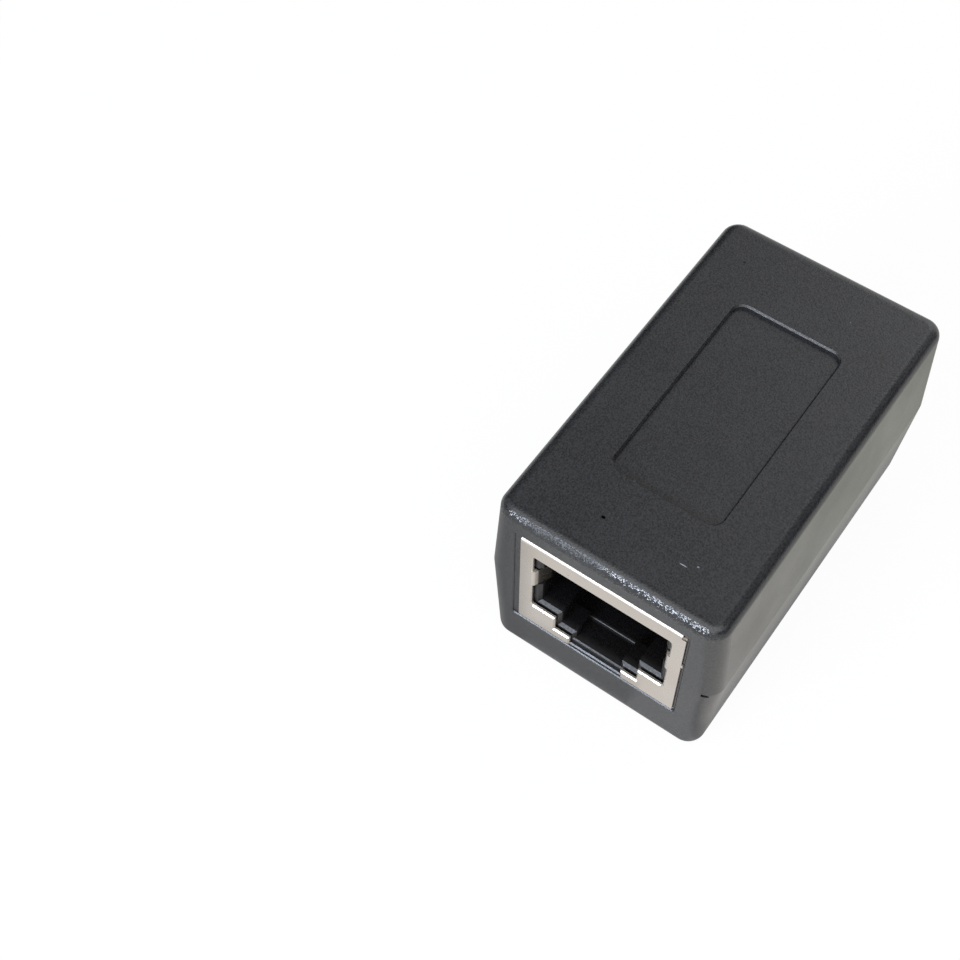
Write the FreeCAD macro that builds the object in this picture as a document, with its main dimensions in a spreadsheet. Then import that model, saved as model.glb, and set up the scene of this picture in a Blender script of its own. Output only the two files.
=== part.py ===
import FreeCAD, Part
import math
import os
import re

import Sketcher

# In-line network coupler: two shielded eight-way jacks stand back to back on one circuit board, in a moulded
# housing. Millimetres, +X across, +Y from the front port to the rear port, +Z up, origin in the middle of the
# underside. The pieces of a jack are drawn in the jack's own frame, where y is the depth behind the face of
# the shield and z the height above the shield's lower edge.

contact_count = 8
hole_sides = 6
match_tolerance = 1e-4

driving = {
    # housing
    "housing_cheek": 3.44,
    "parting_height": 11.1,
    "side_draft": 3.84,
    "corner_radius": 1.64,
    "edge_radius": 1.1,
    "roof_thickness": 2.68,
    "floor_thickness": 2.48,
    "middle_wall": 4.9,
    "panel_width": 10.2,
    "panel_length": 20.4,
    "panel_depth": 0.45,
    "panel_corner": 1.0,
    "panel_bevel": 0.15,
    "recess_width": 11.9,
    "recess_length": 22.9,
    "recess_depth": 0.6,
    "recess_corner": 0.7,
    "rebate_left": 0.675,
    "rebate_right": 0.2,
    "rebate_top": 0.15,
    "rebate_under": 0.4,
    "rebate_depth": 0.15,
    "rebate_corner": 0.2,
    "rebate_bevel": 0.1,
    "mouth_bevel": 0.12,
    "mould_clearance": 0.05,
    "nick_width": 0.9,
    "nick_height": 0.42,
    "nick_depth": 0.35,
    "nick_inset": 0.35,
    # shield, one folded sheet
    "sheet_thickness": 0.3,
    "fold_inner_radius": 0.12,
    "seam_gap": 0.05,
    "shield_proud": 0.05,
    "opening_margin": 0.65,
    "opening_rise": 0.85,
    "opening_corner": 0.3,
    "opening_bevel": 0.12,
    "ledge_margin": 0.42,
    "latch_margin": 0.3,
    "tab_width": 1.6,
    "tab_depth": 9.5,
    "stub_low": 8.05,
    "stub_height": 0.4,
    "spring_low": 6.35,
    "spring_height": 2.3,
    "spring_shoulder": 0.6,
    "spring_swell": 0.15,
    "spring_brow_depth": 1.7,
    "spring_reach": 0.3,
    "spring_knee_depth": 3.2,
    "spring_flare": 0.5,
    "spring_depth": 6.2,
    "spring_bend": 0.2,
    "spring_clearance": 0.2,
    # jack insert
    "insert_clearance": 0.06,
    "insert_setback": 0.2,
    "port_width": 11.9,
    "port_floor": 3.4,
    "port_height": 6.8,
    "port_depth": 11.0,
    "port_bevel": 0.28,
    "side_wall": 1.5,
    "rear_wall": 0.3,
    "latch_width": 7.7,
    "latch_shelf": 1.5,
    "latch_floor": 0.5,
    "latch_depth": 9.0,
    "gate_width": 4.6,
    "gate_depth": 3.05,
    "gate_bevel": 0.12,
    "gate_step": 0.25,
    "step_bevel": 0.06,
    "lintel_gap": 0.4,
    "comb_clearance": 0.15,
    "post_diameter": 3.2,
    "post_inset": 1.91,
    "post_depth": 6.4,
    "post_length": 0.8,
    # contact carrier
    "arm_front": 5.0,
    "arm_floor": 0.4,
    "carrier_wall": 0.4,
    "contact_cover": 1.18,
    # contacts
    "contact_pitch": 1.016,
    "contact_width": 0.36,
    "contact_thickness": 0.3,
    "contact_front": 2.75,
    "contact_rise": 1.1,
    "contact_bend": 0.55,
    "contact_slope": 17.0,
    "tip_engagement": 0.6,
    "fan_lead": 1.5,
    "tail_pitch": 1.27,
    "row_inset": 0.6,
    "row_spacing": 2.54,
    "tail_length": 1.0,
    "tail_room": 0.3,
    # circuit board and its solder joints
    "board_thickness": 1.2,
    "board_margin": 1.19,
    "board_setback": 3.5,
    "board_ledge": 0.6,
    "hole_clearance": 0.15,
    "tail_hole": 0.9,
    "joint_radius": 0.75,
    "joint_tip_radius": 0.3,
    "joint_height": 0.7,
    "joint_spread": 0.4,
    "joint_tip_spread": 0.1,
}

derived = {
    # across
    "port_half": "port_width / 2",
    "insert_half": "port_half + side_wall",
    "inner_half": "insert_half + insert_clearance",
    "shield_half": "inner_half + sheet_thickness",
    "fold_radius": "fold_inner_radius + sheet_thickness",
    "tab_across": "inner_half + sheet_thickness / 2",
    "board_half": "shield_half + board_margin",
    "housing_half": "shield_half + housing_cheek",
    "opening_half": "port_half + opening_margin",
    "latch_half": "latch_width / 2",
    "gate_half": "gate_width / 2",
    "arm_half": "tail_pitch * 3.5 + contact_width / 2 + carrier_wall",
    "loft_half": "arm_half + insert_clearance",
    "post_across": "insert_half - post_inset",
    "spring_start": "opening_half + sheet_thickness",
    "spring_corner": "port_half + spring_shoulder",
    "spring_knee": "port_half - spring_reach",
    "spring_brow": "spring_knee + spring_swell",
    "spring_end": "port_half + spring_flare",
    "relief_half": "max(spring_corner; spring_end) + sheet_thickness / 2 + spring_clearance",
    # along the depth of a jack
    "insert_front": "sheet_thickness + insert_setback",
    "lintel_depth": "contact_front - contact_thickness / 2 - lintel_gap",
    "tip_depth": "port_depth + tip_engagement",
    "comb_depth": "tip_depth + comb_clearance",
    "insert_depth": "comb_depth + rear_wall",
    "block_front": "insert_depth + insert_clearance",
    "tail_row": "insert_depth + row_inset",
    "block_back": "tail_row + row_spacing + contact_thickness / 2 + carrier_wall",
    "shield_depth": "block_back + insert_clearance + sheet_thickness",
    "relief_depth": "spring_depth + spring_clearance",
    "fan_start": "arm_front + fan_lead",
    "fan_end": "insert_depth - fan_lead",
    "hairpin_corner": "contact_front + contact_bend - contact_bend / tan(contact_slope / 2)",
    # up from the lower edge of a jack
    "port_top": "port_floor + port_height",
    "opening_top": "port_top + opening_rise",
    "contact_top": "port_top + contact_rise",
    "contact_low": "contact_top - contact_thickness / 2",
    "contact_high": "contact_top + contact_thickness / 2",
    "arm_underside": "contact_low - arm_floor",
    "insert_top": "contact_high + contact_cover",
    "shield_height": "insert_top + insert_clearance + sheet_thickness",
    "tip_height": "contact_top - (tip_depth - hairpin_corner) * tan(contact_slope)",
    "comb_floor": "tip_height - contact_thickness - comb_clearance",
    "spring_high": "spring_low + spring_height",
    "tail_end": "-(board_thickness + tail_length)",
    # of the whole coupler
    "room_floor": "recess_depth + floor_thickness",
    "board_under": "room_floor + tail_room + tail_length",
    "shield_bottom": "board_under + board_thickness",
    "shield_top": "shield_bottom + shield_height",
    "housing_height": "shield_top + roof_thickness",
    "pocket_depth": "shield_depth - shield_proud + mould_clearance",
    "end_plane": "pocket_depth + middle_wall / 2",
    "face_plane": "end_plane + shield_proud",
    "board_end": "face_plane - board_setback",
}

doc = FreeCAD.newDocument("network_coupler")
sheet = doc.addObject("Spreadsheet::Sheet", "sheet")
for row, (alias, number) in enumerate(driving.items(), start=1):
    sheet.set(f"A{row}", alias)
    sheet.set(f"B{row}", str(number))
    sheet.setAlias(f"B{row}", alias)
doc.recompute()


# Formulas and sketches

def formula(text):
    def spell(match):
        word = match.group()
        if word in derived:
            return f"({formula(derived[word])})"
        return f"sheet.{word}" if word in driving else word
    return re.sub(r"[a-z_]+", spell, text)


def value(text):
    return float(sheet.evalExpression(formula(text)))


def bind(target, name, text):
    target.setExpression(name, formula(text))


def new_body(label):
    body = doc.addObject("PartDesign::Body", label)
    body.Label = label
    return body


def new_sketch(body, name, plane, level):
    sketch = body.newObject("Sketcher::SketchObject", name)
    support = [feature for feature in body.Origin.OriginFeatures if feature.Role == plane]
    sketch.AttachmentSupport = [(support[0], "")]
    sketch.MapMode = "FlatFace"
    facing = "-" if plane == "XZ_Plane" else ""
    bind(sketch, "AttachmentOffset.Base.z", f"{facing}({level})")
    return sketch


def constrain(sketch, text, *terms):
    index = sketch.addConstraint(Sketcher.Constraint(*terms, value(text)))
    bind(sketch, f"Constraints[{index}]", text)


def pin(sketch, edge, vertex, place):
    for kind, text in zip(("DistanceX", "DistanceY"), place):
        constrain(sketch, text, kind, -1, 1, edge, vertex)


def rounding(before, corner, after, radius):
    back = (before - corner).normalize()
    ahead = (after - corner).normalize()
    half_angle = back.getAngle(ahead) / 2
    reach = radius / math.tan(half_angle)
    centre = corner + (back + ahead).normalize() * (radius / math.sin(half_angle))
    turns_left = back.cross(ahead).z < 0
    return corner + back * reach, centre, corner + ahead * reach, turns_left


def arc_between(start, centre, end):
    circle = Part.Circle(centre, FreeCAD.Vector(0, 0, 1), (start - centre).Length)
    angles = [math.atan2(point.y - centre.y, point.x - centre.x) for point in (start, end)]
    return Part.ArcOfCircle(circle, *angles)


def draw(sketch, corners, radius=None, closed=True):
    # A line runs from each corner to the next. With a radius, every turn is a tangent arc instead of a point.
    places = [FreeCAD.Vector(value(across), value(along), 0) for across, along in corners]
    count = len(places)
    turns = {}
    if radius:
        for k in range(count) if closed else range(1, count - 1):
            turns[k] = rounding(places[k - 1], places[k], places[(k + 1) % count], value(radius))
    lines = []
    for k in range(count if closed else count - 1):
        after = (k + 1) % count
        start = turns[k][2] if k in turns else places[k]
        end = turns[after][0] if after in turns else places[after]
        lines.append(sketch.addGeometry(Part.LineSegment(start, end)))
    for k, corner in enumerate(corners):
        if k in turns:
            round_corner(sketch, lines[k - 1], lines[k], corner, turns[k], radius)
        elif closed:
            sketch.addConstraint(Sketcher.Constraint("Coincident", lines[k - 1], 2, lines[k], 1))
            pin(sketch, lines[k], 1, corner)
        else:
            pin(sketch, lines[min(k, len(lines) - 1)], 1 if k == 0 else 2, corner)


def round_corner(sketch, line_in, line_out, corner, turn, radius):
    start, centre, end, turns_left = turn
    ends = (start, centre, end) if turns_left else (end, centre, start)
    arc = sketch.addGeometry(arc_between(*ends))
    vertex_in, vertex_out = (1, 2) if turns_left else (2, 1)
    sketch.addConstraint(Sketcher.Constraint("Tangent", line_in, 2, arc, vertex_in))
    sketch.addConstraint(Sketcher.Constraint("Tangent", arc, vertex_out, line_out, 1))
    constrain(sketch, radius, "Radius", arc)
    place = FreeCAD.Vector(value(corner[0]), value(corner[1]), 0)
    point = sketch.addGeometry(Part.Point(place), True)
    pin(sketch, point, 1, corner)
    for line in (line_in, line_out):
        sketch.addConstraint(Sketcher.Constraint("PointOnObject", point, 1, line))


def draw_circle(sketch, centre, radius):
    place = FreeCAD.Vector(value(centre[0]), value(centre[1]), 0)
    circle = sketch.addGeometry(Part.Circle(place, FreeCAD.Vector(0, 0, 1), value(radius)))
    pin(sketch, circle, 3, centre)
    constrain(sketch, radius, "Radius", circle)


def box(left, right, low, high):
    return [(left, low), (right, low), (right, high), (left, high)]


def centred(half, low, high):
    return box(f"-({half})", half, low, high)


def both_sides(inner, outer, low, high):
    return [box(inner, outer, low, high), box(f"-({outer})", f"-({inner})", low, high)]


# Features

def extrude(body, kind, name, plane, low, high, loops, radius=None):
    # The sketch lies at low, and the feature runs from there to high along the plane's axis.
    sketch = new_sketch(body, f"{name}_sketch", plane, low)
    for loop in loops:
        draw(sketch, loop, radius)
    return extrude_sketch(body, kind, name, sketch, plane, low, high)


def extrude_sketch(body, kind, name, sketch, plane, low, high):
    feature = body.newObject(f"PartDesign::{kind}", name)
    feature.Profile = sketch
    bind(feature, "Length", f"{high} - ({low})")
    feature.Reversed = (plane == "XZ_Plane") == (kind == "Pad")
    return feature


def drill(body, kind, name, low, high, centres, radius):
    sketch = new_sketch(body, f"{name}_sketch", "XY_Plane", low)
    for centre in centres:
        draw_circle(sketch, centre, radius)
    return extrude_sketch(body, kind, name, sketch, "XY_Plane", low, high)


def bend_strip(body, name, path_plane, path_level, path, radius, section_plane, section_level, section):
    # A flat strip, bent along a path of straight runs and arcs.
    spine = new_sketch(body, f"{name}_path", path_plane, path_level)
    draw(spine, path, radius, closed=False)
    profile = new_sketch(body, f"{name}_section", section_plane, section_level)
    draw(profile, section)
    strip = body.newObject("PartDesign::AdditivePipe", name)
    strip.Profile = profile
    strip.Spine = (spine, [])
    strip.Refine = True
    return strip


def edge_names(shape, chosen):
    return [f"Edge{k}" for k, edge in enumerate(shape.Edges, start=1) if chosen(edge.BoundBox)]


def dress(body, kind, name, chosen):
    doc.recompute()
    base = body.Tip
    feature = body.newObject(f"PartDesign::{kind}", name)
    feature.Base = (base, edge_names(base.Shape, chosen))
    return feature


def fillet(body, name, radius, chosen):
    bind(dress(body, "Fillet", name, chosen), "Radius", radius)


def bevel(body, name, size, chosen):
    bind(dress(body, "Chamfer", name, chosen), "Size", size)


def near(first, second):
    return abs(first - second) < match_tolerance


def at_level(low, high, level):
    return near(low, level) and near(high, level)


def within(low, high, floor, ceiling):
    return low > floor - match_tolerance and high < ceiling + match_tolerance


# Housing

def housing_profile():
    # The sides lean in above and below the parting line.
    lean_under = "parting_height * tan(side_draft)"
    lean_top = "(housing_height - parting_height) * tan(side_draft)"
    right = [(f"housing_half - {lean_under}", "0"), ("housing_half", "parting_height"),
             (f"housing_half - {lean_top}", "housing_height")]
    return right + [(f"-({across})", up) for across, up in reversed(right)]


def make_housing():
    body = new_body("housing")
    extrude(body, "Pad", "housing_block", "XZ_Plane", "-end_plane", "end_plane", [housing_profile()])
    fillet(body, "corner_round", "corner_radius",
           lambda room: near(room.YLength, 0) and not near(room.ZLength, 0))
    levels = (0, value("housing_height"))
    fillet(body, "edge_round", "edge_radius",
           lambda room: any(at_level(room.ZMin, room.ZMax, level) for level in levels))
    extrude(body, "Pocket", "label_panel", "XY_Plane", "housing_height - panel_depth", "housing_height",
            [centred("panel_width / 2", "-panel_length / 2", "panel_length / 2")], "panel_corner")
    rim = value("housing_height")
    reach = value("panel_length / 2")
    bevel(body, "panel_rim", "panel_bevel", lambda room: at_level(room.ZMin, room.ZMax, rim)
          and within(room.YMin, room.YMax, -reach, reach))
    extrude(body, "Pocket", "underside_recess", "XY_Plane", "0", "recess_depth",
            [centred("recess_width / 2", "-recess_length / 2", "recess_length / 2")], "recess_corner")
    for end, near_plane, far_plane in (("front", "-end_plane", "-middle_wall / 2"),
                                       ("rear", "middle_wall / 2", "end_plane")):
        extrude(body, "Pocket", f"{end}_pocket", "XZ_Plane", near_plane, far_plane,
                [centred("shield_half + mould_clearance", "shield_bottom - mould_clearance",
                         "shield_top + mould_clearance")])
    for end, near_plane, far_plane in (("front", "-end_plane", "rebate_depth - end_plane"),
                                       ("rear", "end_plane - rebate_depth", "end_plane")):
        left, right = ("rebate_left", "rebate_right") if end == "front" else ("rebate_right", "rebate_left")
        extrude(body, "Pocket", f"{end}_rebate", "XZ_Plane", near_plane, far_plane,
                [box(f"-(shield_half + {left})", f"shield_half + {right}", "shield_bottom - rebate_under",
                     "shield_top + rebate_top")], "rebate_corner")
    bevel_rebates(body)
    nick_left = "housing_half - corner_radius + nick_inset"
    extrude(body, "Pocket", "gate_nick", "XZ_Plane", "-end_plane", "nick_depth - end_plane",
            [box(nick_left, f"{nick_left} + nick_width", "parting_height - nick_height", "parting_height")])
    extrude(body, "Pocket", "board_slot", "XY_Plane", "board_under - mould_clearance", "shield_bottom",
            [centred("board_half + mould_clearance", "-(board_end + mould_clearance)",
                     "board_end + mould_clearance")])
    extrude(body, "Pocket", "solder_room", "XY_Plane", "room_floor", "board_under",
            [centred("board_half - board_ledge", "board_ledge - board_end", "board_end - board_ledge")])
    return body


def bevel_rebates(body):
    # The lip of each rebate on the end face, and the lower lip of the pocket's mouth inside it.
    end_plane = value("end_plane")
    wide = value("shield_half + max(rebate_left; rebate_right)")
    high = value("shield_top + rebate_top")
    low = value("shield_bottom - rebate_under")
    bevel(body, "rebate_lips", "rebate_bevel", lambda room: near(room.YMin, room.YMax)
          and near(abs(room.YMin), end_plane)
          and within(room.XMin, room.XMax, -wide, wide) and within(room.ZMin, room.ZMax, low, high))
    mouth_plane = end_plane - value("rebate_depth")
    sill = value("shield_bottom - mould_clearance")
    bevel(body, "mouth_lips", "mouth_bevel", lambda room: near(room.YMin, room.YMax)
          and near(abs(room.YMin), mouth_plane) and at_level(room.ZMin, room.ZMax, sill))


# Shield

def port_outline(half, floor, top, step_half, shelf, gap_half, gap_floor):
    # Half of the stepped outline is listed from the top down, and mirrored.
    right = [(half, top), (half, floor), (step_half, floor), (step_half, shelf), (gap_half, shelf),
             (gap_half, gap_floor)]
    left = [(f"-({across})", up) for across, up in reversed(right)]
    return right + left


def make_shield(label):
    body = new_body(label)
    mid_sheet = "sheet_thickness / 2"
    high = f"shield_height - {mid_sheet}"
    bend_radius = f"fold_inner_radius + {mid_sheet}"
    back = f"shield_depth - {mid_sheet}"
    side = f"shield_half - {mid_sheet}"
    bend_strip(body, "face_top_and_back", "YZ_Plane", "0",
               [(mid_sheet, "0"), (mid_sheet, high), (back, high), (back, "0")], bend_radius,
               "XY_Plane", "0", centred("shield_half", "0", "sheet_thickness"))
    # On the right, a notch parts the front fold from the side fold.
    corner = box("shield_half - fold_radius", "shield_half", "shield_height - fold_radius", "shield_height")
    extrude(body, "Pocket", "right_fold_relief", "XZ_Plane", "0", "shield_depth", [corner])
    extrude(body, "Pocket", "left_fold_relief", "XZ_Plane", "sheet_thickness + seam_gap", "shield_depth",
            [[(f"-({across})", up) for across, up in reversed(corner)]])
    bend_strip(body, "sides", "XZ_Plane", "shield_depth / 2",
               [(f"-({side})", "0"), (f"-({side})", high), (side, high), (side, "0")], bend_radius,
               "XY_Plane", "0",
               box("-shield_half", "sheet_thickness - shield_half", "sheet_thickness + seam_gap",
                   "shield_depth - sheet_thickness - seam_gap"))
    extrude(body, "Pocket", "port_opening", "XZ_Plane", "0", "sheet_thickness",
            [port_outline("opening_half", "port_floor - ledge_margin", "opening_top",
                          "latch_half + latch_margin", "latch_shelf - ledge_margin",
                          "gate_half + latch_margin", "0")])
    opening_half = value("opening_half")
    opening_top = value("opening_top")
    thickness = value("sheet_thickness")
    fillet(body, "opening_round", "opening_corner",
           lambda room: near(room.XLength, 0) and near(room.ZLength, 0)
           and near(abs(room.XMin), opening_half) and near(room.YMax, thickness))
    bevel(body, "opening_edge", "opening_bevel", lambda room: at_level(room.YMin, room.YMax, 0)
          and within(room.XMin, room.XMax, -opening_half, opening_half)
          and within(room.ZMin, room.ZMax, 0, opening_top) and not near(room.ZMax, 0))
    extrude(body, "Pad", "tie_stub", "XZ_Plane", "0", "rebate_depth",
            [box("shield_half", "shield_half + rebate_right - mould_clearance", "stub_low",
                 "stub_low + stub_height")])
    extrude(body, "Pad", "solder_tabs", "XY_Plane", "tail_end", "0",
            both_sides("inner_half", "shield_half", "tab_depth - tab_width / 2", "tab_depth + tab_width / 2"))
    for side_name, sign in (("right", ""), ("left", "-")):
        path = [("spring_start", mid_sheet), ("spring_corner", mid_sheet),
                ("spring_brow", "spring_brow_depth"), ("spring_knee", "spring_knee_depth"),
                ("spring_end", "spring_depth")]
        bend_strip(body, f"{side_name}_spring", "XY_Plane", "spring_low",
                   [(f"{sign}({across})", along) for across, along in path], "spring_bend",
                   "YZ_Plane", f"{sign}(spring_start)",
                   box("0", "sheet_thickness", "spring_low", "spring_high"))
    return body


# Jack insert

def round_under_folds(body, end):
    # The upper edges follow the inner radius of the shield's folds, at both sides and at one end.
    top = value("insert_top")
    side = value("insert_half")
    depth = value(end)
    fillet(body, f"{body.Label}_round", "fold_inner_radius", lambda room: near(room.ZMin, top)
           and (near(abs(room.XMin + room.XMax) / 2, side) or at_level(room.YMin, room.YMax, depth)))


def make_insert(label):
    body = new_body(label)
    extrude(body, "Pad", "insert_block", "XZ_Plane", "insert_front", "insert_depth",
            [centred("insert_half", "0", "insert_top")])
    round_under_folds(body, "insert_front")
    extrude(body, "Pocket", "mouth", "XZ_Plane", "insert_front", "gate_depth",
            [port_outline("port_half", "port_floor", "port_top", "latch_half", "latch_shelf", "gate_half",
                          "latch_floor")])
    front = value("insert_front")
    port_half = value("port_half")
    latch_floor = value("latch_floor")
    port_top = value("port_top")
    bevel(body, "mouth_edge", "port_bevel", lambda room: at_level(room.YMin, room.YMax, front)
          and within(room.XMin, room.XMax, -port_half, port_half)
          and within(room.ZMin, room.ZMax, latch_floor, port_top) and not near(room.ZMax, latch_floor))
    bevel(body, "gate_lip", "gate_bevel", lambda room: at_level(room.YMin, room.YMax, front)
          and at_level(room.ZMin, room.ZMax, latch_floor))
    extrude(body, "Pocket", "port", "XZ_Plane", "gate_depth", "port_depth",
            [centred("port_half", "port_floor", "port_top")])
    extrude(body, "Pocket", "latch_room", "XZ_Plane", "gate_depth", "latch_depth",
            [centred("latch_half", "latch_floor + gate_step", "port_floor")])
    step_depth = value("gate_depth")
    step_top = value("latch_floor + gate_step")
    step_width = value("gate_width")
    bevel(body, "gate_sill", "step_bevel", lambda room: near(room.XLength, step_width)
          and at_level(room.YMin, room.YMax, step_depth) and at_level(room.ZMin, room.ZMax, step_top))
    extrude(body, "Pocket", "contact_loft", "XY_Plane", "port_top", "insert_top",
            [centred("loft_half", "lintel_depth", "insert_depth")])
    extrude(body, "Pocket", "spring_reliefs", "XZ_Plane", "insert_front", "relief_depth",
            both_sides("port_half", "relief_half", "spring_low - spring_clearance",
                       "spring_high + spring_clearance"))
    slot_half = "contact_width / 2 + comb_clearance"
    extrude(body, "Pocket", "comb_slots", "XZ_Plane", "port_depth", "comb_depth",
            [box(f"{across} - ({slot_half})", f"{across} + {slot_half}", "comb_floor", "port_top")
             for across in contact_places("contact_pitch")])
    drill(body, "Pad", "posts", "-(board_thickness + post_length)", "0",
          [("post_across", "post_depth"), ("-(post_across)", "post_depth")], "post_diameter / 2")
    return body


# Contacts and their carrier

def contact_places(pitch):
    return [f"({k - (contact_count - 1) / 2}) * {pitch}" for k in range(contact_count)]


def tail_places():
    # The tails stand in two rows, by turns.
    places = enumerate(contact_places("tail_pitch"))
    return [(across, f"tail_row + {k % 2} * row_spacing") for k, across in places]


def make_contact(label, across, tail):
    tail_across, tail_depth = tail
    half = "contact_width / 2"
    body = new_body(label)
    bend_strip(body, "hook", "YZ_Plane", across,
               [("fan_start", "contact_top"), ("hairpin_corner", "contact_top"), ("tip_depth", "tip_height")],
               "contact_bend", "XZ_Plane", "fan_start",
               box(f"{across} - {half}", f"{across} + {half}", "contact_low", "contact_high"))
    tail_back = f"{tail_depth} + contact_thickness / 2"
    extrude(body, "Pad", "fan", "XY_Plane", "contact_low", "contact_high",
            [[(f"{across} - {half}", "fan_start"), (f"{across} + {half}", "fan_start"),
              (f"{tail_across} + {half}", "fan_end"), (f"{tail_across} + {half}", tail_back),
              (f"{tail_across} - {half}", tail_back), (f"{tail_across} - {half}", "fan_end")]])
    extrude(body, "Pad", "tail", "XY_Plane", "tail_end", "contact_high",
            [box(f"{tail_across} - {half}", f"{tail_across} + {half}",
                 f"{tail_depth} - contact_thickness / 2", tail_back)])
    return body


def make_carrier_blank(label):
    body = new_body(label)
    extrude(body, "Pad", "rear_block", "XZ_Plane", "block_front", "block_back",
            [centred("insert_half", "0", "insert_top")])
    round_under_folds(body, "block_back")
    extrude(body, "Pad", "arm", "XZ_Plane", "arm_front", "block_front",
            [centred("arm_half", "arm_underside", "insert_top")])
    return body


def cut_out(label, base, tools):
    tool = doc.addObject("Part::MultiFuse", f"{label}_tools")
    tool.Shapes = tools
    cut = doc.addObject("Part::Cut", label)
    cut.Label = label
    cut.Base = base
    cut.Tool = tool
    return cut


# Circuit board and solder

def to_front(place):
    # From a jack's frame to the frame of the coupler, for the jack at the front.
    across, along = place
    return across, f"{along} - (face_plane)"


def to_rear(place):
    across, along = to_front(place)
    return f"-({across})", f"-({along})"


def at_both_ends(places):
    return [turn(place) for turn in (to_front, to_rear) for place in places]


def make_board():
    body = new_body("board_blank")
    extrude(body, "Pad", "board_plate", "XY_Plane", "board_under", "shield_bottom",
            [centred("board_half", "-board_end", "board_end")])
    posts = [("post_across", "post_depth"), ("-(post_across)", "post_depth")]
    drill(body, "Pocket", "post_holes", "board_under", "shield_bottom", at_both_ends(posts),
          "post_diameter / 2 + hole_clearance")
    slots = []
    for across, along in at_both_ends([("tab_across", "tab_depth"), ("-(tab_across)", "tab_depth")]):
        reach = "sheet_thickness / 2 + hole_clearance"
        length = "tab_width / 2 + hole_clearance"
        slots.append(box(f"{across} - ({reach})", f"{across} + {reach}",
                         f"{along} - ({length})", f"{along} + {length}"))
    extrude(body, "Pocket", "tab_slots", "XY_Plane", "board_under", "shield_bottom", slots)
    return cut_out("circuit_board", body, [make_tail_hole(place) for place in at_both_ends(tail_places())])


def make_tail_hole(place):
    hole = doc.addObject("Part::Prism", "tail_hole")
    hole.Polygon = hole_sides
    bind(hole, "Circumradius", "tail_hole / 2")
    bind(hole, "Height", "board_thickness")
    bind(hole, "Placement.Base.x", place[0])
    bind(hole, "Placement.Base.y", place[1])
    bind(hole, "Placement.Base.z", "board_under")
    return hole


def make_mound(name, place, foot, tip, turn=0):
    # It hangs under the board. The foot and the tip are given by their half widths across and along.
    wedge = doc.addObject("Part::Wedge", name)
    upside_down = FreeCAD.Rotation(FreeCAD.Vector(1, 0, 0), -90)
    wedge.Placement.Rotation = FreeCAD.Rotation(FreeCAD.Vector(0, 0, 1), turn).multiply(upside_down)
    foot_sides = ("Xmin", "Xmax", "Zmin", "Zmax")
    tip_sides = ("X2min", "X2max", "Z2min", "Z2max")
    for halves, sides in ((foot, foot_sides), (tip, tip_sides)):
        for half, (low, high) in zip(halves, (sides[:2], sides[2:])):
            bind(wedge, low, f"-({half})")
            bind(wedge, high, half)
    bind(wedge, "Ymin", "0")
    bind(wedge, "Ymax", "joint_height")
    bind(wedge, "Placement.Base.x", place[0])
    bind(wedge, "Placement.Base.y", place[1])
    bind(wedge, "Placement.Base.z", "board_under")
    return wedge


def make_tab_joint(name, place):
    foot, tip = [(f"sheet_thickness / 2 + {spread}", f"tab_width / 2 + {spread}")
                 for spread in ("joint_spread", "joint_tip_spread")]
    return make_mound(name, place, foot, tip)


def make_tail_joint(name, place):
    # Two square mounds on one axis have an eight-sided one in common.
    foot = ("joint_radius", "joint_radius")
    tip = ("joint_tip_radius", "joint_tip_radius")
    mound = doc.addObject("Part::MultiCommon", name)
    mound.Shapes = [make_mound(f"{name}_mound", place, foot, tip, turn) for turn in (0, 45)]
    return mound


def make_joints(end, soldered):
    turn = to_front if end == "front" else to_rear
    tails = [turn(place) for place in tail_places()]
    tabs = [turn(place) for place in (("tab_across", "tab_depth"), ("-(tab_across)", "tab_depth"))]
    mounds = doc.addObject("Part::MultiFuse", f"{end}_solder_mounds")
    mounds.Shapes = [make_tail_joint(f"{end}_tail_joint", place) for place in tails]
    mounds.Shapes += [make_tab_joint(f"{end}_tab_joint", place) for place in tabs]
    return cut_out(f"{end}_solder_joints", mounds, soldered)


# Assembly

def seat_jack_piece(body, end):
    turn = 0 if end == "front" else 180
    body.Placement = FreeCAD.Placement(FreeCAD.Vector(), FreeCAD.Rotation(FreeCAD.Vector(0, 0, 1), turn))
    bind(body, "Placement.Base.y", "-(face_plane)" if end == "front" else "face_plane")
    bind(body, "Placement.Base.z", "shield_bottom")
    return body


def make_jack(end):
    shield = seat_jack_piece(make_shield(f"{end}_shield"), end)
    insert = seat_jack_piece(make_insert(f"{end}_jack_insert"), end)
    places = zip(contact_places("contact_pitch"), tail_places())
    contacts = [seat_jack_piece(make_contact(f"{end}_contact_{k}", across, tail), end)
                for k, (across, tail) in enumerate(places, start=1)]
    blank = seat_jack_piece(make_carrier_blank(f"{end}_carrier_blank"), end)
    carrier = cut_out(f"{end}_contact_carrier", blank, contacts)
    joints = make_joints(end, contacts + [shield])
    return [shield, insert, carrier, joints] + contacts


def faults():
    found = [item.Label for item in doc.Objects if {"Invalid", "Error"} & set(item.State)]
    if found:
        return found
    for item in doc.Objects:
        if item.isDerivedFrom("PartDesign::Pocket") and item.Shape.Volume >= item.BaseFeature.Shape.Volume:
            found.append(f"{item.Label} cuts nothing")
    for piece in pieces:
        if piece.Shape.isNull() or not piece.Shape.isValid() or not piece.Shape.Solids:
            found.append(f"{piece.Label} has no sound solid")
    return found


pieces = [make_housing(), make_board()] + make_jack("front") + make_jack("rear")
doc.recompute()
if faults():
    raise RuntimeError(f"faults: {faults()}")
os.makedirs("parts", exist_ok=True)
for piece in pieces:
    piece.Shape.exportStep(f"parts/{piece.Label}.step")
print(f"{len(pieces)} pieces written")
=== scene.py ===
import math

import bpy
from mathutils import Matrix, Vector


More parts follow.
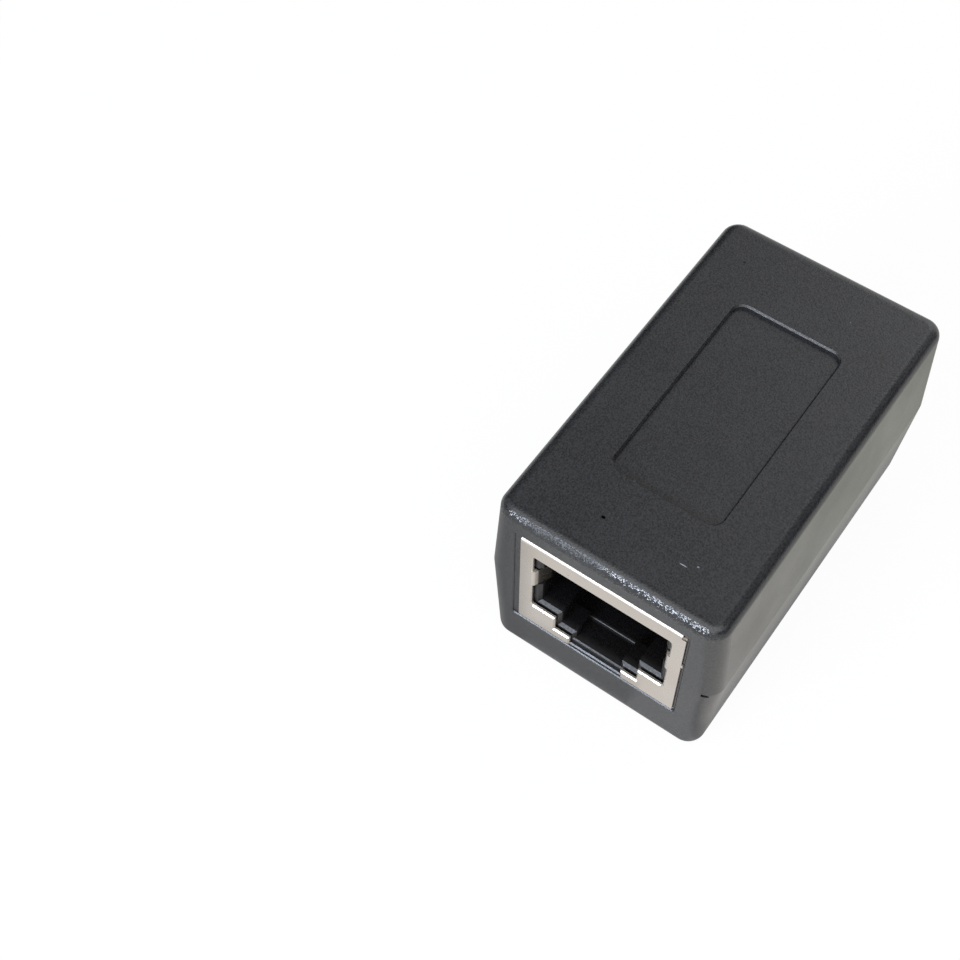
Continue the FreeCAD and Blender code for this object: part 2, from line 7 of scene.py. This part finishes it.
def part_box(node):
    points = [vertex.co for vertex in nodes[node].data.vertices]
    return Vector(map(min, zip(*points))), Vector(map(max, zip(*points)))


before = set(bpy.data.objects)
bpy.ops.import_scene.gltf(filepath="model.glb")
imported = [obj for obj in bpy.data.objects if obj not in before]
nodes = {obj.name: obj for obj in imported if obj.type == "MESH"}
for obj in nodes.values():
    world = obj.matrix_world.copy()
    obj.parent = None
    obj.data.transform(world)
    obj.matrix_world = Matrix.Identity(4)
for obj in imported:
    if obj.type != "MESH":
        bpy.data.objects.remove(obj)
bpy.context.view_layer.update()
mm = 0.001  # the frame is in metres, sizes below are written in millimetres
ends = ("front", "rear")  # the two jacks
print("frame loaded,", len(nodes), "pieces")


# Shared helpers

colourA, colourB, mixedColour = 6, 7, 2  # a Mix node's sockets for two colours, and its output for them
numberA, numberB = 2, 3  # and its sockets for two numbers
noiseSpan = (0.3, 0.7)  # most of a noise pattern lies between these


def linear(code):  # sRGB hex to linear RGBA
    shares = [int(code[k:k + 2], 16) / 255 for k in (1, 3, 5)]
    return [s / 12.92 if s <= 0.04045 else ((s + 0.055) / 1.055) ** 2.4 for s in shares] + [1.0]


def addNode(tree, kind, values=None, links=None, **settings):
    node = tree.nodes.new(kind)
    for name, setting in settings.items():
        setattr(node, name, setting)
    for socket, value in (values or {}).items():
        node.inputs[socket].default_value = value
    for socket, source in (links or {}).items():
        tree.links.new(source, node.inputs[socket])
    return node


def startMaterial(name):  # an empty material, and the places of its points in the shared frame
    material = bpy.data.materials.new(name)
    material.use_nodes = True
    tree = material.node_tree
    tree.nodes.clear()
    return material, tree, addNode(tree, "ShaderNodeTexCoord").outputs["Object"]


def perMetre(size):  # pattern scale for a feature of so many millimetres
    return 1 / (size * mm)


def finishWith(material, *names):
    for name in names:
        mesh = nodes[name].data
        mesh.materials.clear()
        mesh.materials.append(material)


def facing(place, aim, axis):  # stands at the place and turns that axis to the aim
    turn = (aim - place).to_track_quat(axis, "Y")
    return Matrix.Translation(place) @ turn.to_matrix().to_4x4()


# Camera

cameraView = {
    "place": (27.88, -72.64, 130.41),  # mm
    "aim": (-20.60, -6.62, 0.0),  # mm, the middle of the picture on the table
    "roll": -0.728,  # degrees
    "lens": 60.35,  # mm
    "sensor": 36.0,  # mm
    "clip": (1.0, 10000.0),  # mm, the nearest and the farthest that it sees
}


def makeCamera():
    data = bpy.data.cameras.new("pictureCamera")
    data.lens = cameraView["lens"]
    data.sensor_width = cameraView["sensor"]
    data.clip_start, data.clip_end = [distance * mm for distance in cameraView["clip"]]
    camera = bpy.data.objects.new("pictureCamera", data)
    roll = Matrix.Rotation(math.radians(cameraView["roll"]), 4, "Z")
    place = Vector(cameraView["place"]) * mm
    aim = Vector(cameraView["aim"]) * mm
    camera.matrix_world = facing(place, aim, "-Z") @ roll
    bpy.context.scene.collection.objects.link(camera)
    bpy.context.scene.camera = camera


makeCamera()
print("camera placed")


# Table and light

studio = {
    "tableSize": (3000, 3000),  # mm
    "tableColour": "#F4F4F3",
    "tableGlow": 0.94,  # share of the table that shows as plain white
    "white": "#FFFFFF",
    "worldFill": 0.45,  # light that the surroundings give the object
    "worldGlow": 0.95,  # as bright as the far table, so that no horizon shows
}
lamps = {  # places and sizes in mm
    "frontBox": {"place": (-85, -385, 185), "size": (170, 80), "watts": 1.2, "colour": "#E2EDFF"},
    "backBox": {"place": (90, 340, 300), "size": (400, 300), "watts": 0.35, "colour": "#FFFFFF"},
    "cameraBox": {"place": (120, -260, 430), "size": (700, 700), "watts": 2.2, "colour": "#FFFFFF"},
}
# Boards that only reflections see: they shape what the black plastic mirrors of the white studio.
# Places, sizes and fades are in mm. A fade is where the far shade begins and is full, from left to right.
flags = {
    "leftFlag": {"place": (-330, 190, 110), "size": (520, 240), "shade": "#101010"},
    "rightFlag": {"place": (420, 150, 125), "size": (620, 240), "shade": "#101010"},
    "cornerFlag": {"place": (400, -220, 190), "size": (300, 250), "shade": "#101010"},
    "shoulderFlag": {"place": (178, 178, 285), "size": (240, 260), "shade": "#5A5A5A"},
    "topScrim": {"place": (-112, 216, 378), "size": (760, 760), "shade": "#878787",
                 "farShade": "#FFFFFF", "fade": (-60, 120)},
    "leftFrontFlag": {"place": (-400, -230, 110), "size": (300, 200), "shade": "#303030"},
    "frontCard": {"place": (-16.45, -30.97, 0.2), "size": (58, 57), "shade": "#C4C4C4",
                  "farShade": "#F6F6F6", "fade": (0.1, 2.0), "turn": -33.2, "lies": True},
    "sillCard": {"place": (-3, -20, 0.3), "size": (13, 2), "shade": "#C4C4C4", "lies": True},
    "rightCard": {"place": (27, 10, 0.3), "size": (90, 32), "shade": "#FCF9F4",
                  "farShade": "#EAEAE0", "fade": (-25, 5), "turn": 90, "lies": True},
    "footCard": {"place": (11.4, 5, 0.4), "size": (1.6, 60), "shade": "#C8C8C8", "lies": True},
}


def makeBoard(name, size, material):  # flat, and drawn about its middle
    wide, deep = [side * mm / 2 for side in size]
    mesh = bpy.data.meshes.new(name)
    corners = [(-wide, -deep, 0), (wide, -deep, 0), (wide, deep, 0), (-wide, deep, 0)]
    mesh.from_pydata(corners, [], [(0, 1, 2, 3)])
    mesh.materials.append(material)
    board = bpy.data.objects.new(name, mesh)
    bpy.context.scene.collection.objects.link(board)
    return board


def seenRays(tree):  # 1 for what the camera sees, also in a reflection or through glass
    path = addNode(tree, "ShaderNodeLightPath")
    seen = path.outputs["Is Camera Ray"]
    for ray in ("Is Glossy Ray", "Is Transmission Ray"):
        either = addNode(tree, "ShaderNodeMath", links={0: seen, 1: path.outputs[ray]}, operation="MAXIMUM")
        seen = either.outputs[0]
    return seen


def makeTable():
    material, tree = startMaterial("whitePaperSweep")[:2]
    matte = addNode(tree, "ShaderNodeBsdfDiffuse", {"Color": linear(studio["tableColour"])})
    glow = addNode(tree, "ShaderNodeEmission", {"Color": linear(studio["white"])})
    share = addNode(tree, "ShaderNodeMath", {1: studio["tableGlow"]}, {0: seenRays(tree)},
                    operation="MULTIPLY")
    mixed = addNode(tree, "ShaderNodeMixShader",
                    links={0: share.outputs[0], 1: matte.outputs[0], 2: glow.outputs[0]})
    addNode(tree, "ShaderNodeOutputMaterial", links={"Surface": mixed.outputs[0]})
    makeBoard("tableTop", studio["tableSize"], material)


def makeWorld():
    world = bpy.data.worlds.new("whiteStudio")
    bpy.context.scene.world = world
    world.use_nodes = True
    tree = world.node_tree
    tree.nodes.clear()
    fill, glow = [addNode(tree, "ShaderNodeBackground",
                          {"Color": linear(studio["white"]), "Strength": studio[strength]})
                  for strength in ("worldFill", "worldGlow")]
    mixed = addNode(tree, "ShaderNodeMixShader",
                    links={0: seenRays(tree), 1: fill.outputs[0], 2: glow.outputs[0]})
    addNode(tree, "ShaderNodeOutputWorld", links={"Surface": mixed.outputs[0]})


def makeLamps():
    for name, lamp in lamps.items():
        data = bpy.data.lights.new(name, "AREA")
        data.shape = "RECTANGLE"
        data.size, data.size_y = [side * mm for side in lamp["size"]]
        data.energy = lamp["watts"]
        data.color = linear(lamp["colour"])[:3]
        light = bpy.data.objects.new(name, data)
        light.matrix_world = facing(Vector(lamp["place"]) * mm, Vector(), "-Z")
        bpy.context.scene.collection.objects.link(light)


def makeFlags():
    for name, flag in flags.items():
        material, tree, point = startMaterial(name + "Cloth")
        cloth = addNode(tree, "ShaderNodeEmission", {"Color": linear(flag["shade"])})
        addNode(tree, "ShaderNodeOutputMaterial", links={"Surface": cloth.outputs[0]})
        if "farShade" in flag:
            across = addNode(tree, "ShaderNodeSeparateXYZ", links={0: point})
            begins, full = [side * mm for side in flag["fade"]]
            share = addNode(tree, "ShaderNodeMapRange", {"From Min": begins, "From Max": full},
                            {"Value": across.outputs["X"]}, interpolation_type="SMOOTHSTEP")
            shade = addNode(tree, "ShaderNodeMix",
                            {colourA: linear(flag["shade"]), colourB: linear(flag["farShade"])},
                            {0: share.outputs[0]}, data_type="RGBA")
            tree.links.new(shade.outputs[mixedColour], cloth.inputs["Color"])
        board = makeBoard(name, flag["size"], material)
        place = Vector(flag["place"]) * mm
        stand = Matrix.Translation(place) if flag.get("lies") else facing(place, Vector(), "Z")
        board.matrix_world = stand @ Matrix.Rotation(math.radians(flag.get("turn", 0)), 4, "Z")
        board.visible_camera = False
        board.visible_diffuse = False
        board.visible_shadow = False


makeTable()
makeWorld()
makeLamps()
makeFlags()
bpy.context.scene.view_settings.view_transform = "Standard"
print("table and light placed")


# Housing: black PVC from a spark-eroded mould, so a fine grain, dull when flat and glittering on an edge

housingLook = {
    "colour": "#1B1C1E",
    "handled": "#27282B",
    "patch": 7.0,  # mm, patches that were handled
    "patchSpan": (0.25, 0.75),  # of their noise pattern
    "ior": 1.54,
    "gloss": 0.5,  # specular level, the usual one for a plastic
    "roughness": (0.27, 0.36),  # clean and handled patches
    "grain": 0.08,  # mm, width of one eroded pit
    "grainDepth": 0.018,  # mm
    "crest": 0.075,  # mm, width of one worn crest or dirty hollow of the grain
    "crestSpan": (0.25, 0.5, 0.75),  # of its noise pattern: full hollow, plain, full crest
    "crestColour": "#2A2B2E",
    "hollowColour": "#121214",
    "dustSpacing": 4.2,  # mm
    "dustSize": 0.07,  # mm
    "dustColour": "#6C6E71",
    "markDepth": 2.0,  # mm, how far down a mark of the top reaches
    "markRim": (1.2, 0.7),  # shares of a mark's size, where it begins and where it is full
}
rubbedEdge = {  # the front edge of the top, where the grain is rubbed
    "line": (0.1, 0.6),  # mm behind the front and below the top
    "reach": (0.62, 0.4),  # mm from that line, where the rubbing begins and where it is full
    "roughness": (0.42, 0.13),  # where it is only scuffed, and where it is polished
    "scuffedMiddle": -4.0,  # mm across, the middle of the scuffed stretch
    "scuffedReach": (2.8, 4.8),  # mm to each side, where scuffed ends and where polished begins
    "facet": 0.1,  # mm, rubbed grain, drawn coarser than the real one so that it shows
    "facetLean": (0.22, 0.5, 0.5),  # it leans less along the edge than across it
}
topMarks = {  # mm on the top
    # painted shade: the two pits are dark spots with no gloss, in place of the shade within real pits
    "frontPitShade": {"place": (-2.75, -14.55), "size": (0.2, 0.15), "colour": "#030303", "gloss": 0.0},
    "rearPitShade": {"place": (-6.98, 14.28), "size": (0.15, 0.11), "colour": "#0C0C0D", "gloss": 0.3},
    "scratch": {"place": (4.67, -14.58), "size": (0.33, 0.045), "colour": "#8F9296", "gloss": 0.5},
    "chip": {"place": (5.71, -14.06), "size": (0.09, 0.07), "colour": "#7D8084", "gloss": 0.5},
    # painted highlight: a light dash on the rim of the label panel
    "rimHighlight": {"place": (-2.6, -10.2), "size": (0.1, 0.08), "colour": "#85878B", "gloss": 0.5},
}


def housingColour(tree, place, patch):
    base = addNode(tree, "ShaderNodeMix",
                   {colourA: linear(housingLook["colour"]), colourB: linear(housingLook["handled"])},
                   {0: patch}, data_type="RGBA").outputs[mixedColour]
    pair = 2 * housingLook["crest"]  # a crest and a hollow are one cell of noise
    grain = addNode(tree, "ShaderNodeTexNoise", {"Scale": perMetre(pair), "Detail": 0.0}, {"Vector": place})
    hollow, plain, crest = housingLook["crestSpan"]
    for full, colour in ((crest, "crestColour"), (hollow, "hollowColour")):
        share = addNode(tree, "ShaderNodeMapRange", {"From Min": plain, "From Max": full},
                        {"Value": grain.outputs[0]})
        base = addNode(tree, "ShaderNodeMix", {colourB: linear(housingLook[colour])},
                       {0: share.outputs[0], colourA: base}, data_type="RGBA").outputs[mixedColour]
    cells = addNode(tree, "ShaderNodeTexVoronoi", {"Scale": perMetre(housingLook["dustSpacing"])},
                    {"Vector": place})
    reach = housingLook["dustSize"] / housingLook["dustSpacing"]
    dust = addNode(tree, "ShaderNodeMapRange", {"From Min": reach, "From Max": reach / 2},
                   {"Value": cells.outputs["Distance"]})
    return addNode(tree, "ShaderNodeMix", {colourB: linear(housingLook["dustColour"])},
                   {0: dust.outputs[0], colourA: base}, data_type="RGBA").outputs[mixedColour]


def addTopMarks(tree, place, base):  # colour and gloss with the marks laid over them, one after another; the pits are painted shade, the rim dash a painted highlight
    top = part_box("housing")[1][2]
    begins, full = housingLook["markRim"]
    markDepth = housingLook["markDepth"] * mm
    before = {}
    for mark in topMarks.values():
        across, along = [side * mm for side in mark["place"]]
        wide, deep = [side * mm for side in mark["size"]]
        shape = addNode(tree, "ShaderNodeMapping",
                        {"Location": (across, along, top), "Scale": (wide, deep, markDepth)},
                        {"Vector": place}, vector_type="TEXTURE")
        distance = addNode(tree, "ShaderNodeVectorMath", links={0: shape.outputs[0]}, operation="LENGTH")
        share = addNode(tree, "ShaderNodeMapRange", {"From Min": begins, "From Max": full},
                        {"Value": distance.outputs["Value"]}).outputs[0]
        base = addNode(tree, "ShaderNodeMix", {colourB: linear(mark["colour"])}, {0: share, colourA: base},
                       data_type="RGBA").outputs[mixedColour]
        gloss = addNode(tree, "ShaderNodeMix", {numberA: housingLook["gloss"], numberB: mark["gloss"]},
                        {0: share, **before}).outputs[0]
        before = {numberA: gloss}
    return base, gloss


def rubbedShare(tree, place):  # 1 on the rubbed front edge, 0 elsewhere
    lowest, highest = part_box("housing")
    behind, below = [depth * mm for depth in rubbedEdge["line"]]
    line = (0, lowest[1] + behind, highest[2] - below)
    section = addNode(tree, "ShaderNodeVectorMath", {1: (0, 1, 1)}, {0: place}, operation="MULTIPLY")
    distance = addNode(tree, "ShaderNodeVectorMath", {1: line}, {0: section.outputs[0]},
                       operation="DISTANCE")
    begins, full = [reach * mm for reach in rubbedEdge["reach"]]
    return addNode(tree, "ShaderNodeMapRange", {"From Min": begins, "From Max": full},
                   {"Value": distance.outputs["Value"]}).outputs[0]


def rubbedRoughness(tree, place):
    middle = (rubbedEdge["scuffedMiddle"] * mm, 0, 0)
    across = addNode(tree, "ShaderNodeVectorMath", {1: (1, 0, 0)}, {0: place}, operation="MULTIPLY")
    distance = addNode(tree, "ShaderNodeVectorMath", {1: middle}, {0: across.outputs[0]},
                       operation="DISTANCE")
    scuffEnds, polishBegins = [side * mm for side in rubbedEdge["scuffedReach"]]
    scuffed, polished = rubbedEdge["roughness"]
    return addNode(tree, "ShaderNodeMapRange",
                   {"From Min": scuffEnds, "From Max": polishBegins, "To Min": scuffed, "To Max": polished},
                   {"Value": distance.outputs["Value"]}).outputs[0]


def grainNormal(tree, place, rubbed):  # the eroded grain, with leaning facets where it is rubbed
    pair = 2 * housingLook["grain"]  # a pit and a crest are one cell of noise
    grain = addNode(tree, "ShaderNodeTexNoise", {"Scale": perMetre(pair), "Detail": 2.0}, {"Vector": place})
    bump = addNode(tree, "ShaderNodeBump", {"Strength": 1.0, "Distance": housingLook["grainDepth"] * mm},
                   {"Height": grain.outputs[0]})
    facets = addNode(tree, "ShaderNodeTexVoronoi", {"Scale": perMetre(rubbedEdge["facet"])},
                     {"Vector": place})
    most = rubbedEdge["facetLean"]
    centred = addNode(tree, "ShaderNodeVectorMath", {1: most, 2: [-lean / 2 for lean in most]},
                      {0: facets.outputs["Color"]}, operation="MULTIPLY_ADD")
    lean = addNode(tree, "ShaderNodeVectorMath", links={0: centred.outputs[0], "Scale": rubbed},
                   operation="SCALE")
    leaning = addNode(tree, "ShaderNodeVectorMath", links={0: bump.outputs[0], 1: lean.outputs[0]},
                      operation="ADD")
    return addNode(tree, "ShaderNodeVectorMath", links={0: leaning.outputs[0]},
                   operation="NORMALIZE").outputs[0]


def makeHousingFinish():
    material, tree, place = startMaterial("sparkErodedPvc")
    patch = addNode(tree, "ShaderNodeTexNoise", {"Scale": perMetre(housingLook["patch"]), "Detail": 3.0},
                    {"Vector": place}).outputs[0]
    colour, gloss = addTopMarks(tree, place, housingColour(tree, place, patch))
    low, high = housingLook["patchSpan"]
    clean, handled = housingLook["roughness"]
    dull = addNode(tree, "ShaderNodeMapRange",
                   {"From Min": low, "From Max": high, "To Min": clean, "To Max": handled},
                   {"Value": patch})
    rubbed = rubbedShare(tree, place)
    rough = addNode(tree, "ShaderNodeMix",
                    links={0: rubbed, numberA: dull.outputs[0], numberB: rubbedRoughness(tree, place)})
    shader = addNode(tree, "ShaderNodeBsdfPrincipled", {"IOR": housingLook["ior"]},
                     {"Base Color": colour, "Roughness": rough.outputs[0], "Specular IOR Level": gloss,
                      "Normal": grainNormal(tree, place, rubbed)})
    addNode(tree, "ShaderNodeOutputMaterial", links={"Surface": shader.outputs[0]})
    return material


finishWith(makeHousingFinish(), "housing")


# Shield: nickel-plated steel strip, rolled and stamped, so a satin sheen with faint lines and a few pits

shieldLook = {
    "colour": "#D0CAC3",
    "tarnish": "#C3BBB1",
    "cloud": 3.5,  # mm, clouds of tarnish
    "roughness": (0.2, 0.3),
    "lineWidth": 0.09,  # mm, drawn coarser than the real rolling lines so that they show
    "lineLength": 2.5,  # mm
    "lineDepth": 0.0012,  # mm
    "pitSpacing": 1.7,  # mm
    "pitSize": 0.06,  # mm
    "pitColour": "#6E675F",
    "inside": "#8C857B",  # painted shade, darker within the port
    "shadedInside": (0.35, 0.5),  # mm behind the face, where the painted shade within the port begins and is full; the sheared edge ends there
    "sheared": (0.03, 0.1),  # mm behind the face, where the cut and bent edge begins and is full
    "shearedRoughness": 0.5,
}


def shieldColour(tree, place, inside):
    cloud = addNode(tree, "ShaderNodeTexNoise", {"Scale": perMetre(shieldLook["cloud"]), "Detail": 4.0},
                    {"Vector": place})
    base = addNode(tree, "ShaderNodeMix",
                   {colourA: linear(shieldLook["colour"]), colourB: linear(shieldLook["tarnish"])},
                   {0: cloud.outputs[0]}, data_type="RGBA")
    cells = addNode(tree, "ShaderNodeTexVoronoi", {"Scale": perMetre(shieldLook["pitSpacing"])},
                    {"Vector": place})
    reach = shieldLook["pitSize"] / shieldLook["pitSpacing"]
    pits = addNode(tree, "ShaderNodeMapRange", {"From Min": reach, "From Max": reach / 2},
                   {"Value": cells.outputs["Distance"]})
    pitted = addNode(tree, "ShaderNodeMix", {colourB: linear(shieldLook["pitColour"])},
                     {0: pits.outputs[0], colourA: base.outputs[mixedColour]}, data_type="RGBA")
    # painted shade: the shield turns darker within the port
    return addNode(tree, "ShaderNodeMix", {colourB: linear(shieldLook["inside"])},
                   {0: inside, colourA: pitted.outputs[mixedColour]}, data_type="RGBA").outputs[mixedColour]


def makeShieldFinish():
    material, tree, place = startMaterial("nickelPlatedSteel")
    along = addNode(tree, "ShaderNodeSeparateXYZ", links={0: place})
    fromMiddle = addNode(tree, "ShaderNodeMath", links={0: along.outputs["Y"]}, operation="ABSOLUTE")
    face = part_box("rear_shield")[1][1]
    behind = {}
    for zone in ("shadedInside", "sheared"):
        begins, full = [face - depth * mm for depth in shieldLook[zone]]
        behind[zone] = addNode(tree, "ShaderNodeMapRange", {"From Min": begins, "From Max": full},
                               {"Value": fromMiddle.outputs[0]}).outputs[0]
    edge = addNode(tree, "ShaderNodeMath", links={0: behind["sheared"], 1: behind["shadedInside"]},
                   operation="SUBTRACT")
    line, length = shieldLook["lineWidth"], shieldLook["lineLength"]
    stretch = addNode(tree, "ShaderNodeMapping",
                      {"Scale": (perMetre(length), perMetre(line), perMetre(line))}, {"Vector": place})
    lines = addNode(tree, "ShaderNodeTexNoise", {"Scale": 1.0, "Detail": 2.0},
                    {"Vector": stretch.outputs[0]})
    low, high = noiseSpan
    smooth, rough = shieldLook["roughness"]
    dull = addNode(tree, "ShaderNodeMapRange",
                   {"From Min": low, "From Max": high, "To Min": smooth, "To Max": rough},
                   {"Value": lines.outputs[0]})
    worn = addNode(tree, "ShaderNodeMix", {numberB: shieldLook["shearedRoughness"]},
                   {0: edge.outputs[0], numberA: dull.outputs[0]})
    bump = addNode(tree, "ShaderNodeBump", {"Strength": 1.0, "Distance": shieldLook["lineDepth"] * mm},
                   {"Height": lines.outputs[0]})
    shader = addNode(tree, "ShaderNodeBsdfPrincipled", {"Metallic": 1.0},
                     {"Base Color": shieldColour(tree, place, behind["shadedInside"]),
                      "Roughness": worn.outputs[0], "Normal": bump.outputs[0]})
    addNode(tree, "ShaderNodeOutputMaterial", links={"Surface": shader.outputs[0]})
    return material


finishWith(makeShieldFinish(), *[f"{end}_shield" for end in ends])


# Jack insert and contact carrier: black glass-filled PBT, moulded with a fine matt skin, so soft grey lips

insertLook = {
    "colour": "#08080A",
    "fibre": "#111114",
    "flow": 2.0,  # mm, flow marks
    "ior": 1.57,
    "roughness": (0.29, 0.5),  # as moulded, and where plugs have rubbed it
    "mouthReach": (1.0, 0.4),  # mm behind the mouth, where the rubbing begins and where it is full
    "latchEdge": (15.53, 6.29),  # mm from the middle and above the table, the edge that latches rub
    "latchReach": (0.3, 0.15),  # mm from it, where the rubbing begins and where it is full
    "speckle": 0.06,  # how far the grain shifts the roughness
    "skin": 0.1,  # mm, grain of the skin
    "skinDepth": 0.006,  # mm
}


def insertRoughness(tree, place):  # both jacks alike, so by the distance from the middle of the coupler
    smooth, rough = insertLook["roughness"]
    axes = addNode(tree, "ShaderNodeSeparateXYZ", links={0: place})
    fromMiddle = addNode(tree, "ShaderNodeMath", links={0: axes.outputs["Y"]},
                         operation="ABSOLUTE").outputs[0]
    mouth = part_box("rear_jack_insert")[1][1]
    begins, full = [mouth - depth * mm for depth in insertLook["mouthReach"]]
    atMouth = addNode(tree, "ShaderNodeMapRange",
                      {"From Min": begins, "From Max": full, "To Min": smooth, "To Max": rough},
                      {"Value": fromMiddle})
    section = addNode(tree, "ShaderNodeCombineXYZ", links={"Y": fromMiddle, "Z": axes.outputs["Z"]})
    edge = (0, *[side * mm for side in insertLook["latchEdge"]])
    distance = addNode(tree, "ShaderNodeVectorMath", {1: edge}, {0: section.outputs[0]},
                       operation="DISTANCE")
    begins, full = [side * mm for side in insertLook["latchReach"]]
    latched = addNode(tree, "ShaderNodeMapRange", {"From Min": begins, "From Max": full},
                      {"Value": distance.outputs["Value"]})
    return addNode(tree, "ShaderNodeMix", {numberB: rough},
                   {0: latched.outputs[0], numberA: atMouth.outputs[0]}).outputs[0]


def makeInsertFinish():
    material, tree, place = startMaterial("glassFilledPbt")
    flow = addNode(tree, "ShaderNodeTexNoise", {"Scale": perMetre(insertLook["flow"]), "Detail": 4.0},
                   {"Vector": place})
    base = addNode(tree, "ShaderNodeMix",
                   {colourA: linear(insertLook["colour"]), colourB: linear(insertLook["fibre"])},
                   {0: flow.outputs[0]}, data_type="RGBA")
    pair = 2 * insertLook["skin"]  # a hollow and a crest are one cell of noise
    skin = addNode(tree, "ShaderNodeTexNoise", {"Scale": perMetre(pair), "Detail": 2.0}, {"Vector": place})
    low, high = noiseSpan
    shift = insertLook["speckle"]
    speckle = addNode(tree, "ShaderNodeMapRange",
                      {"From Min": low, "From Max": high, "To Min": -shift, "To Max": shift},
                      {"Value": skin.outputs[0]})
    dull = addNode(tree, "ShaderNodeMath", links={0: insertRoughness(tree, place), 1: speckle.outputs[0]},
                   operation="ADD")
    bump = addNode(tree, "ShaderNodeBump", {"Strength": 1.0, "Distance": insertLook["skinDepth"] * mm},
                   {"Height": skin.outputs[0]})
    shader = addNode(tree, "ShaderNodeBsdfPrincipled", {"IOR": insertLook["ior"]},
                     {"Base Color": base.outputs[mixedColour], "Roughness": dull.outputs[0],
                      "Normal": bump.outputs[0]})
    addNode(tree, "ShaderNodeOutputMaterial", links={"Surface": shader.outputs[0]})
    return material


mouldedPieces = ("jack_insert", "contact_carrier")
finishWith(makeInsertFinish(), *[f"{end}_{piece}" for end in ends for piece in mouldedPieces])


# Contacts: hard gold over drawn phosphor bronze, so a warm gloss with fine lines along the wire

contactLook = {
    "count": 8,  # in each jack
    "colour": "#E0B45C",
    "worn": "#C99A4C",
    "roughness": (0.18, 0.3),
    "lineWidth": 0.03,  # mm
    "lineLength": 1.5,  # mm
}


def makeContactFinish():
    material, tree, place = startMaterial("goldPlatedBronze")
    line, length = contactLook["lineWidth"], contactLook["lineLength"]
    stretch = addNode(tree, "ShaderNodeMapping",
                      {"Scale": (perMetre(line), perMetre(length), perMetre(length))}, {"Vector": place})
    lines = addNode(tree, "ShaderNodeTexNoise", {"Scale": 1.0, "Detail": 2.0},
                    {"Vector": stretch.outputs[0]})
    base = addNode(tree, "ShaderNodeMix",
                   {colourA: linear(contactLook["colour"]), colourB: linear(contactLook["worn"])},
                   {0: lines.outputs[0]}, data_type="RGBA")
    low, high = noiseSpan
    smooth, rough = contactLook["roughness"]
    dull = addNode(tree, "ShaderNodeMapRange",
                   {"From Min": low, "From Max": high, "To Min": smooth, "To Max": rough},
                   {"Value": lines.outputs[0]})
    shader = addNode(tree, "ShaderNodeBsdfPrincipled", {"Metallic": 1.0},
                     {"Base Color": base.outputs[mixedColour], "Roughness": dull.outputs[0]})
    addNode(tree, "ShaderNodeOutputMaterial", links={"Surface": shader.outputs[0]})
    return material


contactNumbers = range(1, contactLook["count"] + 1)
finishWith(makeContactFinish(), *[f"{end}_contact_{k}" for end in ends for k in contactNumbers])


# Circuit board: woven glass and epoxy under green solder resist, so a faint weave through a glossy coat

boardLook = {
    "resist": "#1C5B36",
    "yarn": "#2A7348",
    "ior": 1.55,
    "roughness": 0.3,
    "yarnSpacing": 0.5,  # mm
    "yarnDepth": 0.01,  # mm
    "yarnWander": 0.4,
}
waveTurn = 20  # radians that a wave pattern turns in one unit, at scale 1


def makeBoardFinish():
    material, tree, place = startMaterial("glassEpoxyGreenResist")
    scale = perMetre(boardLook["yarnSpacing"]) * math.tau / waveTurn
    wave = {"Scale": scale, "Distortion": boardLook["yarnWander"]}
    warp, weft = [addNode(tree, "ShaderNodeTexWave", wave, {"Vector": place}, bands_direction=axis)
                  for axis in ("X", "Y")]
    weave = addNode(tree, "ShaderNodeMath", links={0: warp.outputs["Fac"], 1: weft.outputs["Fac"]},
                    operation="MULTIPLY").outputs[0]
    base = addNode(tree, "ShaderNodeMix",
                   {colourA: linear(boardLook["resist"]), colourB: linear(boardLook["yarn"])},
                   {0: weave}, data_type="RGBA")
    bump = addNode(tree, "ShaderNodeBump", {"Strength": 1.0, "Distance": boardLook["yarnDepth"] * mm},
                   {"Height": weave})
    shader = addNode(tree, "ShaderNodeBsdfPrincipled",
                     {"Roughness": boardLook["roughness"], "IOR": boardLook["ior"]},
                     {"Base Color": base.outputs[mixedColour], "Normal": bump.outputs[0]})
    addNode(tree, "ShaderNodeOutputMaterial", links={"Surface": shader.outputs[0]})
    return material


finishWith(makeBoardFinish(), "circuit_board")


# Solder: tin, silver and copper that froze in the wave bath, so bright with a frosty grain

solderLook = {
    "colour": "#C6C7C9",
    "frost": "#A9AAAD",
    "roughness": (0.22, 0.48),
    "crystal": 0.25,  # mm
    "crystalDepth": 0.01,  # mm
}


def makeSolderFinish():
    material, tree, place = startMaterial("tinSilverSolder")
    crystals = addNode(tree, "ShaderNodeTexVoronoi", {"Scale": perMetre(solderLook["crystal"])},
                       {"Vector": place}).outputs["Distance"]
    base = addNode(tree, "ShaderNodeMix",
                   {colourA: linear(solderLook["colour"]), colourB: linear(solderLook["frost"])},
                   {0: crystals}, data_type="RGBA")
    smooth, rough = solderLook["roughness"]
    dull = addNode(tree, "ShaderNodeMapRange", {"To Min": smooth, "To Max": rough}, {"Value": crystals})
    bump = addNode(tree, "ShaderNodeBump", {"Strength": 1.0, "Distance": solderLook["crystalDepth"] * mm},
                   {"Height": crystals})
    shader = addNode(tree, "ShaderNodeBsdfPrincipled", {"Metallic": 1.0},
                     {"Base Color": base.outputs[mixedColour], "Roughness": dull.outputs[0],
                      "Normal": bump.outputs[0]})
    addNode(tree, "ShaderNodeOutputMaterial", links={"Surface": shader.outputs[0]})
    return material


finishWith(makeSolderFinish(), *[f"{end}_solder_joints" for end in ends])
print("finishes made")
